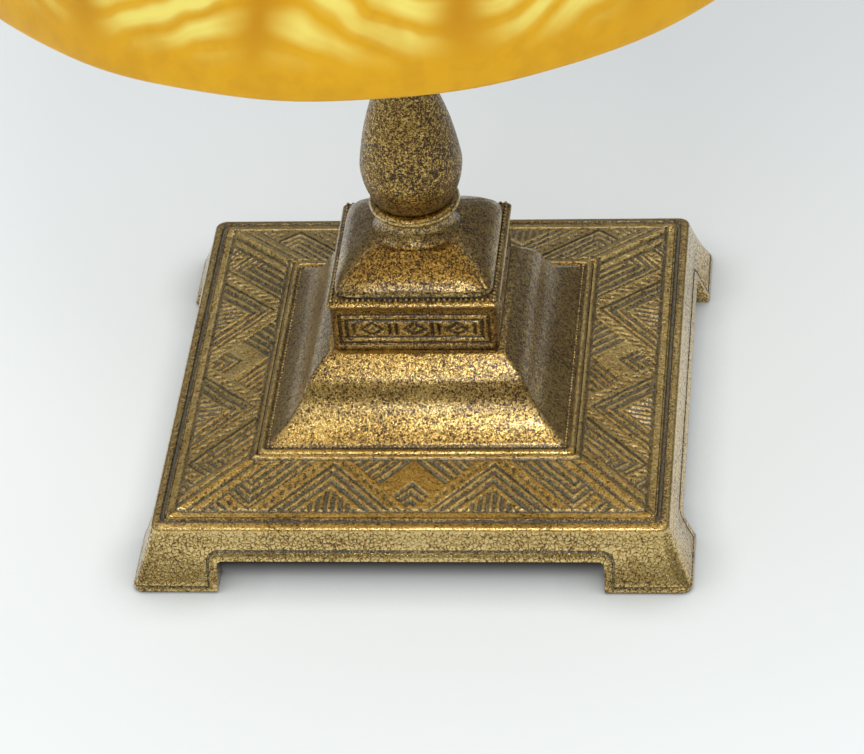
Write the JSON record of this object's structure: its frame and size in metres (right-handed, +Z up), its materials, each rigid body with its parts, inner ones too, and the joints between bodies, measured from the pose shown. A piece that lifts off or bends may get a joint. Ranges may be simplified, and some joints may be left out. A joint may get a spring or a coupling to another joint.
{
  "type": "table lamp",
  "caption": "Table lamp with a square cast base on bracket feet, a baluster stem, a keyed bulb socket and a harp that carries a turning glass dome shade under a finial.",
  "frame": {"origin": "on the table, under the stem's axis", "axes": "+Z up along the stem, -Y towards the front"},
  "size_m": [0.2536, 0.2536, 0.359],
  "materials": {
    "cast_bronze": "antique gilt patina over cast bronze, worn bright on edges",
    "brass_fitting": "aged satin brass",
    "steel_fastening": "dull zinc-plated steel",
    "grey_iron": "raw sand-cast iron",
    "porcelain": "glazed white porcelain",
    "fibre_card": "pressed fibre card",
    "black_bush": "turned black fibre",
    "wire_cover": "rubber-covered wire",
    "amber_glass": "amber opal glass with pale combed waves",
    "frosted_glass": "frosted bulb glass",
    "clear_glass": "clear glass",
    "bulb_metal": "drawn aluminium",
    "black_glass": "dark insulating glass",
    "solder": "solder",
    "lamp_wire": "bare wire",
    "felt_ring": "pressed felt"
  },
  "bodies": {
    "base": {"base_casting": "cast_bronze", "base_weight": "grey_iron", "foot_washer": "steel_fastening", "foot_locknut": "steel_fastening", "tie_pipe": "steel_fastening", "wire_pair": "wire_cover", "cord_bush": "black_bush", "pedestal_block": "cast_bronze", "stem_collar": "cast_bronze", "stem_baluster": "cast_bronze", "stem_cap": "cast_bronze", "harp_saddle": "brass_fitting", "socket_cap": "brass_fitting", "socket_shell": "brass_fitting", "shell_liner": "fibre_card", "socket_body": "porcelain", "terminal_screws": "steel_fastening", "screw_shell": "brass_fitting", "centre_contact": "brass_fitting"},
    "switch": {"switch_spindle": "steel_fastening", "switch_key": "brass_fitting"},
    "bulb": {"bulb_cap": "bulb_metal", "bulb_insulator": "black_glass", "bulb_contact": "solder", "bulb_envelope": "frosted_glass", "bulb_stem": "clear_glass", "bulb_leads": "lamp_wire", "bulb_filament": "lamp_wire"},
    "harp": {"harp_loop": "brass_fitting", "harp_stud": "brass_fitting"},
    "ferrule_left": {"harp_ferrule_left": "brass_fitting"},
    "ferrule_right": {"harp_ferrule_right": "brass_fitting"},
    "shade": {"shade_seat": "brass_fitting", "seat_gasket": "felt_ring", "glass_shade": "amber_glass", "cap_gasket": "felt_ring", "heat_cap": "cast_bronze"},
    "finial": {"finial": "cast_bronze"}
  },
  "joints": [
    {"name": "switch_key_turn", "type": "hinge", "parent": "base", "child": "switch", "pos_m": [0, -0.03, 0.1728], "axis": [0, -1, 0], "continuous": true},
    {"name": "bulb_turn", "type": "hinge", "parent": "base", "child": "bulb", "pos_m": [0, 0, 0.2], "axis": [0, 0, 1], "continuous": true},
    {"name": "harp_lift", "type": "slide", "parent": "base", "child": "harp", "axis": [0, 0, 1], "range_m": [0, 0.01]},
    {"name": "ferrule_left_lift", "type": "slide", "parent": "harp", "child": "ferrule_left", "axis": [0, 0, 1], "range_m": [0, 0.01]},
    {"name": "ferrule_right_lift", "type": "slide", "parent": "harp", "child": "ferrule_right", "axis": [0, 0, 1], "range_m": [0, 0.01]},
    {"name": "shade_turn", "type": "hinge", "parent": "harp", "child": "shade", "pos_m": [0, 0, 0.31], "axis": [0, 0, 1], "continuous": true},
    {"name": "finial_turn", "type": "hinge", "parent": "harp", "child": "finial", "pos_m": [0, 0, 0.34], "axis": [0, 0, 1], "continuous": true}
  ]
}
